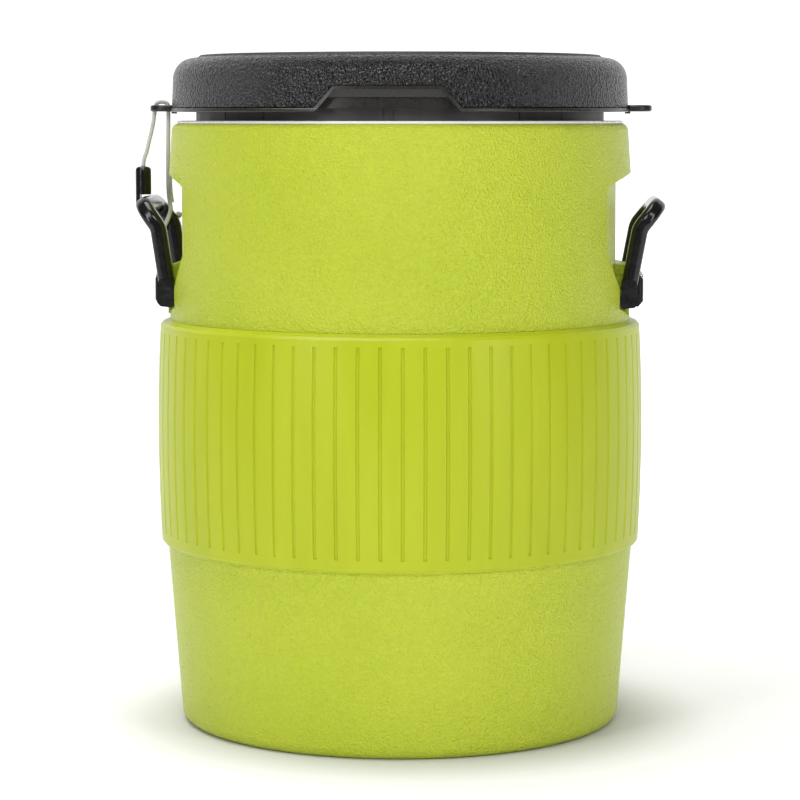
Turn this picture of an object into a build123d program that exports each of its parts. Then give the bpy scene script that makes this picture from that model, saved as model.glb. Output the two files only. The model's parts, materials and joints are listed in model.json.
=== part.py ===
"""A round, double-walled drinks cooler with a lift-off seat lid, two side handles, a lid tether and a tap.

Millimetres. +Z is up, the origin is at the middle of the base, the handles are at +X and -X,
the lid's finger notch is at -Y and the tap is at +Y.
"""

import math
import os

from build123d import *

# ---- Tub: outer shell -------------------------------------------------------------------
FOOT_R = 174.0  # outer radius just above the rounded foot
FOOT_ROUND = 10.0
LOWER_TOP_R = 184.0  # the lower body flares up to the belt
BELT_LOW_Z = 143.0
BELT_HIGH_Z = 316.5
BELT_EDGE_R = 189.0
BELT_MID_R = 191.4
UPPER_R = 181.4
SHOULDER_Z = 466.0  # the upper body draws in a little towards the top
SHOULDER_R = 179.2
SHELL_TOP_Z = 471.6
SHELL_TOP_R = 173.4
SHELL_WALL = 3.0
GROOVES = 72
GROOVE_TURN = 3.6  # angle of the first groove from +X, in degrees
GROOVE_HALF = 1.5  # half width at the belt's surface
GROOVE_FLOOR_HALF = 0.7
GROOVE_DEPTH = 1.2
GROOVE_LOW_Z = 152.5
GROOVE_HIGH_Z = 309.5
SEAM_TURN = 45.0  # turned solids start between two grooves and clear of the recesses

# ---- Tub: handle recesses and bosses ------------------------------------------------------
RECESS_X = 169.6  # the recess wall at its crown
RECESS_WALL_R = 418.0  # the wall is slightly crowned in plan
RECESS_LOW_Z = 352.0
RECESS_HIGH_Z = 427.5
RECESS_RAMP = 32.0  # the recess floor runs out and down by this much
RECESS_VISOR = 6.0  # the recess roof runs out and up by this much
RECESS_ROUND = 5.5
BAY_HALF_Y = 100.0  # beyond the line where the wall runs out into the round body
POCKET_LOW_Z = 331.0  # the deeper pocket that the handle's feet turn in
POCKET_RAMP = 8.0
POCKET_HALF_Y = 57.0
BOSS_HALF_Y = 33.0
BOSS_TOP_Z = 363.5

# ---- Tub: liner and base -------------------------------------------------------------------
RIM_Z = 473.6
RIM_R = 175.0
RIM_SEAT_GAP = 0.02  # between the rim flange and the top edge of the shell
LINER_TOP_R = 158.5
LINER_LOW_R = 155.0
LINER_FLOOR_Z = 20.0
LINER_WALL = 2.6
LINER_CORNER = 14.0
BASE_DISH = 6.0  # the base is hollowed inside its standing ring
BASE_DISH_R = 148.0
PLUG_HOLE_R = 11.0

# ---- Lid --------------------------------------------------------------------------------------
SKIRT_LOW_Z = 480.3
SKIRT_LOW_R = 179.0
SKIRT_TOP_R = 178.0
LID_ROUND = 16.5
LID_SHOULDER_Z = 522.3
SEAT_R = 158.0
SEAT_Z = 524.4
SEAT_DISH_R = 148.0
SEAT_DISH = 1.2
LID_WALL = 3.0
BEAD_HEIGHT = 2.6
BEAD_PROUD = 0.5
INNER_SKIRT_R = 170.0
INNER_SKIRT_LOW_Z = 482.8
NOTCH_TOP_HALF = 38.5
NOTCH_LOW_HALF = 53.5
NOTCH_TOP_Z = 496.7
NOTCH_STEP_Z = 490.4
TAB_LOW_Z = 480.7
TAB_HIGH_Z = 485.8
TAB_TIP_R = 197.5
TAB_HALF_Y = 12.0
TAB_HOLE_R = 2.5
TAB_HOLE_IN = 183.3
TAB_HOLE_OUT = 193.4

# ---- Lid plug -----------------------------------------------------------------------------------
RING_R = 160.0
RING_LOW_Z = 473.7
PLUG_R = 156.4
PLUG_LOW_Z = 451.0
PLUG_WALL = 2.6
PLUG_FLANGE_Z = 486.0
PLUG_FLANGE_R = 167.0

# ---- Handles ---------------------------------------------------------------------------------------
PIVOT_X = 180.0
PIVOT_Z = 339.0
ARM_Y = 44.5  # centre of each arm
ARM_WIDTH = 13.0
HEEL_X = 168.05  # each foot's heel stops against the recess wall
LEFT_FOLD = 2.0  # the tether holds the left handle this far in from its stop, in degrees
ARM_DEPTH = 12.4
ARM_CORNER = 4.6
FOOT_X = 178.9  # centre of the arm where it leaves its foot
FOOT_Z = 343.0
BEND_X = 187.8
BEND_Z = 391.0
BEND_ROUND = 16.0
GRIP_X = 200.6
GRIP_Z = 407.0
GRIP_ROUND = 16.0
PIN_R = 3.0
PIN_GAP = 0.06
PIN_DEPTH = 9.0  # how far the pin runs into each foot

# ---- Handle brackets and screws ---------------------------------------------------------------
BRACKET_X = 191.2
BRACKET_LOW_Z = 329.6
BRACKET_HIGH_Z = 357.0
BRACKET_HALF_Y = 30.0
SCREW_Y = 18.0
SCREW_Z = 350.5
SCREW_R = 2.0
SCREW_HEAD_R = 4.2
SCREW_HEAD = 2.4
SCREW_LENGTH = 17.0

# ---- Tether -----------------------------------------------------------------------------------------
CORD_R = 1.6
EYE_HALF_DEPTH = 8.2  # the eye's loop round the arm, measured to the middle of the cord
EYE_HALF_Y = 8.5
EYE_CORNER_R = 4.5
EYE_ALONG = 3.6  # distance up the sloped part of the arm from the bend
TOGGLE_R = 6.2
TOGGLE_X = 203.6
TOGGLE_TOP_Z = 437.5
TOGGLE_LOW_Z = 405.0
TOGGLE_LIP_X = 205.7  # the lip hangs outside the grip
TOGGLE_SEAT_Z = 415.4

# ---- Tap ------------------------------------------------------------------------------------------
TAP_POCKET_Y = 162.5
TAP_POCKET_HALF = 46.0
TAP_POCKET_TOP = 118.0
TAP_Z = 50.0  # height of the stem through the wall
TAP_Y = 178.8  # axis of the upright valve barrel
TAP_BORE_R = 10.0
TAP_HOLE_GAP = 0.3
TAP_FLANGE_R = 13.8
TAP_INNER_Y = 136.0  # inner end of the stem, inside the liner
GASKET = 1.6
WASHER = 2.0
PAD_Y = 152.6  # flat pad inside the liner for the nut
PAD_R = 22.0
NUT_R = 17.0
NUT_THICKNESS = 8.0
BARREL_R = 12.0
BARREL_LOW_Z = 30.0
BARREL_TOP_Z = 64.0
CHAMBER_R = 8.5
CHAMBER_LOW_Z = 35.0
VALVE_SEAT_Z = 32.0  # the seal closes upwards against this face
VALVE_HOLE_R = 4.6
SPOUT_LOW_Z = 14.0
SPOUT_LOW_R = 9.6
SPOUT_BORE_R = 7.6
TAP_TRAVEL = 5.0  # how far the button goes down
ROD_R = 2.0
BONNET_LOW_Z = 58.0
BONNET_FLOOR_Z = 61.0  # the spring stands on this
BONNET_TOP_Z = 73.0
BONNET_BORE_R = 8.3
BUTTON_R = 8.2
BUTTON_LOW_Z = BONNET_FLOOR_Z + TAP_TRAVEL + 3.0
BUTTON_ROOF_Z = 74.5  # the spring's top end rests against this
BUTTON_TOP_Z = BONNET_TOP_Z + TAP_TRAVEL + 3.0
SPRING_R = 5.4
SPRING_WIRE_R = 0.45
SPRING_TURNS = 5.0


def ring_profile(points):
    """A closed face in the XZ plane from (radius, height) points, ready to revolve."""
    return Plane.XZ * make_face(Polyline(*points, close=True))


def turned(points):
    """A solid turned about the Z axis from a closed (radius, height) outline."""
    return revolve(ring_profile(points), Axis.Z)


def upright(radius, low, high, x=0.0, y=0.0):
    """An upright cylinder between two heights."""
    return Pos(x, y, (low + high) / 2) * Cylinder(radius, high - low)


def along_y(radius, low, high, x=0.0, z=0.0):
    """A cylinder lying along Y between two Y positions."""
    return Pos(x, (low + high) / 2, z) * Rot(X=90) * Cylinder(radius, high - low)


def along_x(radius, low, high, y=0.0, z=0.0):
    """A cylinder lying along X between two X positions."""
    return Pos((low + high) / 2, y, z) * Rot(Y=90) * Cylinder(radius, high - low)


def block(low, high):
    """A box between two corners."""
    size = [b - a for a, b in zip(low, high)]
    middle = [(a + b) / 2 for a, b in zip(low, high)]
    return Pos(*middle) * Box(*size)


def side_prism(points, low_y, high_y):
    """A prism along Y from an (x, z) outline."""
    face = Plane.XZ * make_face(Polyline(*points, close=True))
    return Pos(0, high_y, 0) * extrude(face, high_y - low_y)


def left_of(shape):
    """The mirror image of a right-hand piece, for the left side."""
    return mirror(shape, Plane.YZ)


# ---- Tub ----------------------------------------------------------------------------------------------
def shell_outside():
    """The solid outer form of the tub: foot, flared lower body, barrelled belt and upper body."""
    foot_in = FOOT_R - FOOT_ROUND
    bend = math.sin(math.radians(45))
    foot_arc = (foot_in + FOOT_ROUND * bend, FOOT_ROUND * (1 - bend))
    belt_mid_z = (BELT_LOW_Z + BELT_HIGH_Z) / 2
    top_drop = SHELL_TOP_Z - SHOULDER_Z
    top_in = SHOULDER_R - SHELL_TOP_R
    top_arc = (SHELL_TOP_R + top_in * bend, SHOULDER_Z + top_drop * bend)
    outline = Curve() + [
        Line((0, 0), (foot_in, 0)),
        ThreePointArc((foot_in, 0), foot_arc, (FOOT_R, FOOT_ROUND)),
        Line((FOOT_R, FOOT_ROUND), (LOWER_TOP_R, BELT_LOW_Z - 1.5)),
        Line((LOWER_TOP_R, BELT_LOW_Z - 1.5), (BELT_EDGE_R - 1.6, BELT_LOW_Z)),
        Line((BELT_EDGE_R - 1.6, BELT_LOW_Z), (BELT_EDGE_R, BELT_LOW_Z + 2.0)),
        ThreePointArc(
            (BELT_EDGE_R, BELT_LOW_Z + 2.0), (BELT_MID_R, belt_mid_z), (BELT_EDGE_R, BELT_HIGH_Z - 2.0)
        ),
        Line((BELT_EDGE_R, BELT_HIGH_Z - 2.0), (BELT_EDGE_R - 1.8, BELT_HIGH_Z)),
        Line((BELT_EDGE_R - 1.8, BELT_HIGH_Z), (UPPER_R, BELT_HIGH_Z + 2.2)),
        Line((UPPER_R, BELT_HIGH_Z + 2.2), (UPPER_R, SHOULDER_Z - 32.0)),
        Line((UPPER_R, SHOULDER_Z - 32.0), (SHOULDER_R, SHOULDER_Z)),
        ThreePointArc((SHOULDER_R, SHOULDER_Z), top_arc, (SHELL_TOP_R, SHELL_TOP_Z)),
        Line((SHELL_TOP_R, SHELL_TOP_Z), (0, SHELL_TOP_Z)),
        Line((0, SHELL_TOP_Z), (0, 0)),
    ]
    return Rot(Z=SEAM_TURN) * revolve(Plane.XZ * make_face(outline), Axis.Z)


def shell_inside():
    """The space inside the outer shell's wall, which the foam and the liner fill."""
    return Rot(Z=SEAM_TURN) * turned(
        [
            (0, BASE_DISH + SHELL_WALL),
            (BASE_DISH_R + 3, BASE_DISH + SHELL_WALL),
            (BASE_DISH_R + 8, SHELL_WALL),
            (FOOT_R - FOOT_ROUND, SHELL_WALL),
            (FOOT_R - SHELL_WALL, FOOT_ROUND + 1),
            (LOWER_TOP_R - SHELL_WALL, BELT_LOW_Z - 1),
            (BELT_EDGE_R - SHELL_WALL - 1, BELT_LOW_Z + 5),
            (BELT_MID_R - SHELL_WALL - 1, (BELT_LOW_Z + BELT_HIGH_Z) / 2),
            (BELT_EDGE_R - SHELL_WALL - 1, BELT_HIGH_Z - 5),
            (UPPER_R - SHELL_WALL, BELT_HIGH_Z + 1),
            (UPPER_R - SHELL_WALL, SHOULDER_Z - 32.0),
            (SHOULDER_R - SHELL_WALL, SHOULDER_Z),
            (SHELL_TOP_R - 1.0, SHELL_TOP_Z + 1),
            (0, SHELL_TOP_Z + 1),
        ]
    )


def recess_band(low_z, ramp, half_y, grow):
    """The space on the right between a floor that falls outwards and the visor, outside the wall."""
    near = RECESS_X - 20
    far = BELT_MID_R + 10
    depth = UPPER_R - RECESS_X
    floor_z = low_z - grow * math.hypot(1, ramp / depth)
    roof_z = RECESS_HIGH_Z + grow
    outline = [
        (near, floor_z + (RECESS_X - near) * ramp / depth),
        (UPPER_R, floor_z - ramp),
        (far, floor_z - ramp),
        (far, roof_z + (far - RECESS_X) * RECESS_VISOR / depth),
        (near, roof_z - (RECESS_X - near) * RECESS_VISOR / depth),
    ]
    wall_x = RECESS_X - RECESS_WALL_R
    wall_z = (low_z + RECESS_HIGH_Z) / 2
    wall = Pos(wall_x, 0, wall_z) * Rot(Z=180) * Cylinder(RECESS_WALL_R - grow, 400)
    return side_prism(outline, -half_y, half_y) - wall


def recess_cut(grow):
    """What one handle recess takes away on the right: a wide rounded bay and a pocket for the feet."""
    bay = recess_band(RECESS_LOW_Z, RECESS_RAMP, BAY_HALF_Y, grow)
    corners = [edge for edge in bay.edges() if edge.length > BAY_HALF_Y and edge.center().X < RECESS_X + 1]
    corners = [edge for edge in corners if edge.center().X > RECESS_X - grow - 1]
    bay = fillet(corners, RECESS_ROUND)
    return bay + recess_band(POCKET_LOW_Z, POCKET_RAMP, POCKET_HALF_Y + grow, grow)


def tap_pocket(face_y, half, top):
    """What the tap's pocket takes away at the front of the lower body: a flat wall under a round arch."""
    pocket = block((-half, face_y, -1), (half, 200, top))
    return fillet(pocket.edges().filter_by(Axis.Y).group_by(Axis.Z)[-1], 24.0)


def belt_groove():
    """A cutter with sloped sides that follows the belt's barrel at +X."""
    belt_half = (BELT_HIGH_Z - BELT_LOW_Z - 4) / 2
    sagitta = BELT_MID_R - BELT_EDGE_R
    barrel_r = (belt_half**2 + sagitta**2) / (2 * sagitta)
    middle_z = (BELT_LOW_Z + BELT_HIGH_Z) / 2
    low_turn = math.degrees(math.asin((GROOVE_LOW_Z - middle_z) / barrel_r))
    high_turn = math.degrees(math.asin((GROOVE_HIGH_Z - middle_z) / barrel_r))
    barrel = Plane(origin=(BELT_MID_R - barrel_r, 0, middle_z), x_dir=(1, 0, 0), z_dir=(0, -1, 0))
    path = barrel * CenterArc((0, 0), barrel_r, low_turn, high_turn - low_turn)
    over = 1.0  # the cutter stands this far out of the belt
    over_half = GROOVE_HALF + over * (GROOVE_HALF - GROOVE_FLOOR_HALF) / GROOVE_DEPTH
    outline = [
        (-over_half, -over),
        (over_half, -over),
        (GROOVE_FLOOR_HALF, GROOVE_DEPTH),
        (-GROOVE_FLOOR_HALF, GROOVE_DEPTH),
    ]
    start = Plane(origin=path @ 0, x_dir=(0, 1, 0), z_dir=path % 0)
    return sweep(make_face(start * Polyline(*outline, close=True)), path)


def outer_shell():
    """The coloured outer shell: one moulding with handle recesses, bosses, grooves and the tap's pocket."""
    outside = shell_outside()
    outside -= upright(BASE_DISH_R, -1, BASE_DISH)
    inside = shell_inside()
    recess = recess_cut(0)
    recess_room = recess_cut(SHELL_WALL)
    outside -= [recess, left_of(recess)]
    inside -= [recess_room, left_of(recess_room)]
    outside -= tap_pocket(TAP_POCKET_Y, TAP_POCKET_HALF, TAP_POCKET_TOP)
    inside -= tap_pocket(TAP_POCKET_Y - SHELL_WALL, TAP_POCKET_HALF + SHELL_WALL, TAP_POCKET_TOP + SHELL_WALL)
    shell = outside - inside
    boss = handle_boss()
    shell = shell + boss + left_of(boss)
    groove = belt_groove()
    shell -= [Rot(Z=GROOVE_TURN + i * 360 / GROOVES) * groove for i in range(GROOVES)]
    shell -= along_y(TAP_BORE_R + TAP_HOLE_GAP, 140, 180, z=TAP_Z)
    shell -= upright(PLUG_HOLE_R, -1, BASE_DISH + SHELL_WALL + 1)
    for y in (-SCREW_Y, SCREW_Y):
        hole = along_x(SCREW_R, BRACKET_X - SCREW_LENGTH - 1, BRACKET_X, y, SCREW_Z)
        shell -= [hole, left_of(hole)]
    return shell


def handle_boss():
    """The moulded block between the right handle's arms, with a half-round seat for the pin."""
    outline = [
        (RECESS_X - 2, POCKET_LOW_Z - 1),
        (PIVOT_X, POCKET_LOW_Z - POCKET_RAMP),
        (PIVOT_X, BRACKET_HIGH_Z + 1.0),
        (PIVOT_X - 1.5, BOSS_TOP_Z - 2),
        (RECESS_X - 2, BOSS_TOP_Z),
    ]
    boss = side_prism(outline, -BOSS_HALF_Y, BOSS_HALF_Y)
    return boss - along_y(PIN_R + PIN_GAP, -60, 60, PIVOT_X, PIVOT_Z)


def liner_form(radius_change, floor_change, top):
    """A solid tapered cup form: the liner's inside, or its outside when grown by the wall."""
    slope = (LINER_TOP_R - LINER_LOW_R) / (RIM_Z - LINER_FLOOR_Z)
    corner = LINER_CORNER + radius_change
    floor = LINER_FLOOR_Z - floor_change
    turn_z = floor + corner
    low_r = LINER_LOW_R + slope * LINER_CORNER + radius_change
    top_r = low_r + slope * (top - turn_z)
    bend = 1 - math.sin(math.radians(45))
    outline = Curve() + [
        Line((0, floor), (low_r - corner, floor)),
        ThreePointArc(
            (low_r - corner, floor), (low_r - corner * bend, floor + corner * bend), (low_r, turn_z)
        ),
        Line((low_r, turn_z), (top_r, top)),
        Line((top_r, top), (0, top)),
        Line((0, top), (0, floor)),
    ]
    return Rot(Z=SEAM_TURN) * revolve(Plane.XZ * make_face(outline), Axis.Z)


def inner_liner():
    """The white food-grade liner: a tapered cup with a rim flange that closes the top of the tub."""
    cup = liner_form(LINER_WALL, LINER_WALL, SHELL_TOP_Z + 0.5)
    flange = upright(RIM_R, SHELL_TOP_Z + RIM_SEAT_GAP, RIM_Z)
    cup += chamfer(flange.edges().filter_by(GeomType.CIRCLE).group_by(Axis.Z)[-1], 0.6)
    cup -= liner_form(0, 0, RIM_Z + 1)
    cup += along_y(PAD_R, PAD_Y, LINER_LOW_R + 1.0, z=TAP_Z)
    return cup - along_y(TAP_BORE_R + TAP_HOLE_GAP, 140, 180, z=TAP_Z)


def body_insulation():
    """The foam between the outer shell and the liner."""
    gap = 0.05
    foam = Rot(Z=SEAM_TURN) * turned(
        [
            (0, BASE_DISH + SHELL_WALL + gap),
            (BASE_DISH_R + 4, BASE_DISH + SHELL_WALL + gap),
            (BASE_DISH_R + 9, SHELL_WALL + 1),
            (FOOT_R - FOOT_ROUND - 1, SHELL_WALL + 1),
            (FOOT_R - SHELL_WALL - 1, FOOT_ROUND + 2),
            (LOWER_TOP_R - SHELL_WALL - 1, BELT_LOW_Z),
            (BELT_EDGE_R - SHELL_WALL - 2, BELT_LOW_Z + 7),
            (BELT_EDGE_R - SHELL_WALL - 2, BELT_HIGH_Z - 7),
            (UPPER_R - SHELL_WALL - 1, BELT_HIGH_Z - 1),
            (UPPER_R - SHELL_WALL - 1, SHOULDER_Z - 32.0),
            (SHOULDER_R - SHELL_WALL - 1, SHOULDER_Z - 1),
            (SHELL_TOP_R - 3, SHELL_TOP_Z - gap),
            (0, SHELL_TOP_Z - gap),
        ]
    )
    room = recess_cut(SHELL_WALL + 0.2)
    foam -= room
    foam -= left_of(room)
    pocket_gap = SHELL_WALL + 0.2
    foam -= tap_pocket(TAP_POCKET_Y - pocket_gap, TAP_POCKET_HALF + pocket_gap, TAP_POCKET_TOP + 4)
    foam -= liner_form(LINER_WALL + gap, LINER_WALL + gap, SHELL_TOP_Z + 1)
    foam -= along_y(PAD_R + 1, 140, 180, z=TAP_Z)
    foam -= upright(PLUG_HOLE_R + 3, 0, LINER_FLOOR_Z)
    return foam.solids().sort_by(SortBy.VOLUME)[-1]


def foam_fill_plug():
    """The push-in plug that closes the hole in the base through which the foam was poured."""
    gap = 0.05
    plug = upright(PLUG_HOLE_R - gap, BASE_DISH - 0.6, BASE_DISH + SHELL_WALL + 2)
    flange = upright(PLUG_HOLE_R + 3, BASE_DISH - 2.0, BASE_DISH - gap)
    plug = plug + flange
    return plug - upright(PLUG_HOLE_R - 3, BASE_DISH - 3, BASE_DISH)


# ---- Lid ------------------------------------------------------------------------------------------
def lid_notch_prism(grow):
    """The tapered finger notch seen from the front, grown all round by a wall."""
    outline = [
        (-NOTCH_LOW_HALF - grow, SKIRT_LOW_Z - 3),
        (NOTCH_LOW_HALF + grow, SKIRT_LOW_Z - 3),
        (NOTCH_LOW_HALF + grow, SKIRT_LOW_Z),
        (NOTCH_TOP_HALF + grow, NOTCH_TOP_Z + grow),
        (-NOTCH_TOP_HALF - grow, NOTCH_TOP_Z + grow),
        (-NOTCH_LOW_HALF - grow, SKIRT_LOW_Z),
    ]
    return side_prism(outline, -200, -120)


def lid_shell():
    """The seat-top lid shell: crowned seat, rounded shoulder, bead-edged skirt, notch and two tabs."""
    bend = math.sin(math.radians(45))
    round_z = LID_SHOULDER_Z - LID_ROUND
    flat_r = SKIRT_TOP_R - LID_ROUND
    out_arc = (flat_r + LID_ROUND * bend, round_z + LID_ROUND * bend)
    in_round = LID_ROUND - LID_WALL
    in_arc = (flat_r + in_round * bend, round_z + in_round * bend)
    roof_z = LID_SHOULDER_Z - LID_WALL
    bead_r = SKIRT_LOW_R + BEAD_PROUD
    outline = Curve() + [
        Line((0, SEAT_Z - SEAT_DISH), (SEAT_DISH_R - 12, SEAT_Z - SEAT_DISH)),
        Spline(
            (SEAT_DISH_R - 12, SEAT_Z - SEAT_DISH),
            (SEAT_DISH_R, SEAT_Z),
            tangents=((1, 0), (1, 0)),
        ),
        Line((SEAT_DISH_R, SEAT_Z), (SEAT_R - 1.5, SEAT_Z)),
        Line((SEAT_R - 1.5, SEAT_Z), (SEAT_R, SEAT_Z - 1.2)),
        Line((SEAT_R, SEAT_Z - 1.2), (flat_r - 1.5, LID_SHOULDER_Z)),
        Line((flat_r - 1.5, LID_SHOULDER_Z), (flat_r, LID_SHOULDER_Z)),
        ThreePointArc((flat_r, LID_SHOULDER_Z), out_arc, (SKIRT_TOP_R, round_z)),
        Line((SKIRT_TOP_R, round_z), (SKIRT_LOW_R, SKIRT_LOW_Z + BEAD_HEIGHT)),
        Line((SKIRT_LOW_R, SKIRT_LOW_Z + BEAD_HEIGHT), (bead_r, SKIRT_LOW_Z + BEAD_HEIGHT - 0.6)),
        Line((bead_r, SKIRT_LOW_Z + BEAD_HEIGHT - 0.6), (bead_r, SKIRT_LOW_Z + 0.8)),
        Line((bead_r, SKIRT_LOW_Z + 0.8), (bead_r - 0.8, SKIRT_LOW_Z)),
        Line((bead_r - 0.8, SKIRT_LOW_Z), (SKIRT_LOW_R - LID_WALL, SKIRT_LOW_Z)),
        Line((SKIRT_LOW_R - LID_WALL, SKIRT_LOW_Z), (SKIRT_TOP_R - LID_WALL, round_z)),
        ThreePointArc((SKIRT_TOP_R - LID_WALL, round_z), in_arc, (flat_r, roof_z)),
        Line((flat_r, roof_z), (0, roof_z)),
        Line((0, roof_z), (0, SEAT_Z - SEAT_DISH)),
    ]
    lid = revolve(Plane.XZ * make_face(outline), Axis.Z)
    inner = INNER_SKIRT_R - 2.5
    lid += turned(
        [
            (inner, INNER_SKIRT_LOW_Z),
            (INNER_SKIRT_R, INNER_SKIRT_LOW_Z),
            (INNER_SKIRT_R, roof_z - 3),
            (INNER_SKIRT_R - 1, roof_z + 1),
            (inner, roof_z + 1),
        ]
    )
    behind = turned(
        [
            (INNER_SKIRT_R - 1, SKIRT_LOW_Z),
            (SKIRT_LOW_R - 1, SKIRT_LOW_Z),
            (SKIRT_TOP_R - 1, round_z),
            (INNER_SKIRT_R - 1, roof_z - 4),
        ]
    )
    lid += behind & lid_notch_prism(LID_WALL)
    carve = turned(
        [
            (INNER_SKIRT_R, SKIRT_LOW_Z - 2),
            (190, SKIRT_LOW_Z - 2),
            (190, NOTCH_TOP_Z + 2),
            (SKIRT_TOP_R - 1.5, NOTCH_TOP_Z + 2),
            (INNER_SKIRT_R + 2.0, NOTCH_STEP_Z + 0.6),
            (INNER_SKIRT_R, NOTCH_STEP_Z),
        ]
    )
    lid -= carve & lid_notch_prism(0)
    below = upright(190, INNER_SKIRT_LOW_Z - 10, INNER_SKIRT_LOW_Z)
    lid -= below & lid_notch_prism(0)
    for side in (1, -1):
        lid += Rot(Z=0 if side > 0 else 180) * lid_tab()
        for x in (TAB_HOLE_IN, TAB_HOLE_OUT):
            lid -= upright(TAB_HOLE_R, TAB_LOW_Z - 1, TAB_HIGH_Z + 1, side * x)
            lid -= Pos(side * x, 0, TAB_HIGH_Z - 0.6) * Cone(TAB_HOLE_R, TAB_HOLE_R + 1.3, 1.3)
    return lid


def lid_tab():
    """One tether tab: a round-tipped plate on the skirt's edge with a small rib under its root."""
    height = TAB_HIGH_Z - TAB_LOW_Z
    tip = TAB_TIP_R - TAB_HALF_Y
    root = SKIRT_LOW_R - 2.0
    plate = Pos((root + tip) / 2, 0) * Rectangle(tip - root, 2 * TAB_HALF_Y)
    plate += Pos(tip, 0) * Circle(TAB_HALF_Y)
    tab = extrude(Pos(0, 0, TAB_LOW_Z) * plate, height)
    rims = tab.edges().group_by(Axis.Z)[-1] + tab.edges().group_by(Axis.Z)[0]
    tab = fillet([rim for rim in rims if rim.center().X > root + 1], 1.6)
    return tab + upright(2.2, TAB_LOW_Z - 1.6, TAB_LOW_Z + 1, root + 1.6)


def lid_plug():
    """The lid's inner moulding: a ring that stands over the rim, a plug in the mouth, and a flange."""
    ring_in = RING_R - PLUG_WALL
    plug_in = PLUG_R - PLUG_WALL
    plug = turned(
        [
            (0, PLUG_LOW_Z),
            (PLUG_R - 4, PLUG_LOW_Z),
            (PLUG_R, PLUG_LOW_Z + 4),
            (PLUG_R + 0.6, RING_LOW_Z),
            (RING_R, RING_LOW_Z),
            (RING_R, PLUG_FLANGE_Z),
            (PLUG_FLANGE_R, PLUG_FLANGE_Z),
            (PLUG_FLANGE_R, PLUG_FLANGE_Z + 2.4),
            (ring_in, PLUG_FLANGE_Z + 2.4),
            (ring_in, RING_LOW_Z + PLUG_WALL),
            (plug_in, RING_LOW_Z + PLUG_WALL),
            (plug_in, PLUG_LOW_Z + PLUG_WALL + 3),
            (plug_in - 3, PLUG_LOW_Z + PLUG_WALL),
            (0, PLUG_LOW_Z + PLUG_WALL),
        ]
    )
    seam_depth = 0.7
    for angle in (-1.3, 1.3, 36.5, -36.5, 52.5, -52.5, 127.5, -127.5, 143.5, -143.5):
        seam = block((-0.45, -RING_R - 2, RING_LOW_Z - 1), (0.45, -RING_R + seam_depth, PLUG_FLANGE_Z - 0.4))
        plug -= Rot(Z=angle) * seam
    return plug


def lid_insulation():
    """The foam between the lid shell and the plug."""
    gap = 0.1
    plug_in = PLUG_R - PLUG_WALL
    ring_in = RING_R - PLUG_WALL
    return turned(
        [
            (0, PLUG_LOW_Z + PLUG_WALL + gap),
            (plug_in - 3.2, PLUG_LOW_Z + PLUG_WALL + gap),
            (plug_in - gap, PLUG_LOW_Z + PLUG_WALL + 3.2),
            (plug_in - gap, RING_LOW_Z + PLUG_WALL + gap),
            (ring_in - gap, RING_LOW_Z + PLUG_WALL + gap),
            (ring_in - gap, PLUG_FLANGE_Z + 2.4 + gap),
            (PLUG_FLANGE_R, PLUG_FLANGE_Z + 2.4 + gap),
            (PLUG_FLANGE_R, LID_SHOULDER_Z - LID_WALL - 5),
            (LINER_LOW_R, LID_SHOULDER_Z - LID_WALL - gap),
            (0, LID_SHOULDER_Z - LID_WALL - gap),
        ]
    )


# ---- Handles -------------------------------------------------------------------------------------------
def handle_right():
    """The moulded bail: two leaning arms on box-shaped feet, bent out at the top into the grip."""
    route = [
        (FOOT_X, -ARM_Y, FOOT_Z),
        (BEND_X, -ARM_Y, BEND_Z),
        (GRIP_X, -ARM_Y, GRIP_Z),
        (GRIP_X, ARM_Y, GRIP_Z),
        (BEND_X, ARM_Y, BEND_Z),
        (FOOT_X, ARM_Y, FOOT_Z),
    ]
    path = FilletPolyline(*route, radius=[BEND_ROUND, GRIP_ROUND, GRIP_ROUND, BEND_ROUND])
    start = Plane(origin=path @ 0, x_dir=(0, 1, 0), z_dir=path % 0)
    bail = sweep(start * RectangleRounded(ARM_WIDTH, ARM_DEPTH, ARM_CORNER), path)
    for y in (-ARM_Y, ARM_Y):
        bail += handle_foot(y)
    for y, sign in ((-ARM_Y, 1), (ARM_Y, -1)):
        inner = y + sign * ARM_WIDTH / 2
        low, high = sorted((inner - sign * PIN_DEPTH, inner + sign * 2))
        bail -= along_y(PIN_R + PIN_GAP, low, high, PIVOT_X, PIVOT_Z)
    return bail


def folded(shape):
    """A piece of the left handle turned in from its stop to where the tether holds it."""
    return Pos(-PIVOT_X, 0, PIVOT_Z) * Rot(Y=LEFT_FOLD) * Pos(PIVOT_X, 0, -PIVOT_Z) * shape


def handle_foot(y):
    """One box-shaped foot with a slanted underside and a heel that stops against the recess wall."""
    half = ARM_WIDTH / 2 + 0.6
    outline = [
        (PIVOT_X - 5.4, PIVOT_Z - 9.8),
        (PIVOT_X + 3.6, PIVOT_Z - 9.1),
        (PIVOT_X + 6.2, PIVOT_Z - 6.3),
        (PIVOT_X + 6.2, PIVOT_Z + 7.5),
        (PIVOT_X + 4.9, PIVOT_Z + 12.0),
        (PIVOT_X - 4.6, PIVOT_Z + 12.0),
        (PIVOT_X - 6.4, PIVOT_Z + 7.0),
        (PIVOT_X - 6.4, PIVOT_Z + 0.6),
        (HEEL_X, PIVOT_Z - 1.2),
        (HEEL_X, PIVOT_Z - 4.2),
    ]
    foot = side_prism(outline, y - half, y + half)
    return fillet(foot.edges().filter_by(Axis.Y), 0.9)


def handle_pin():
    """The steel rod that both feet of one handle turn on."""
    reach = ARM_Y - ARM_WIDTH / 2 + PIN_DEPTH - 0.4
    pin = along_y(PIN_R, -reach, reach, PIVOT_X, PIVOT_Z)
    return chamfer(pin.edges().filter_by(GeomType.CIRCLE), 0.5)


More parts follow.
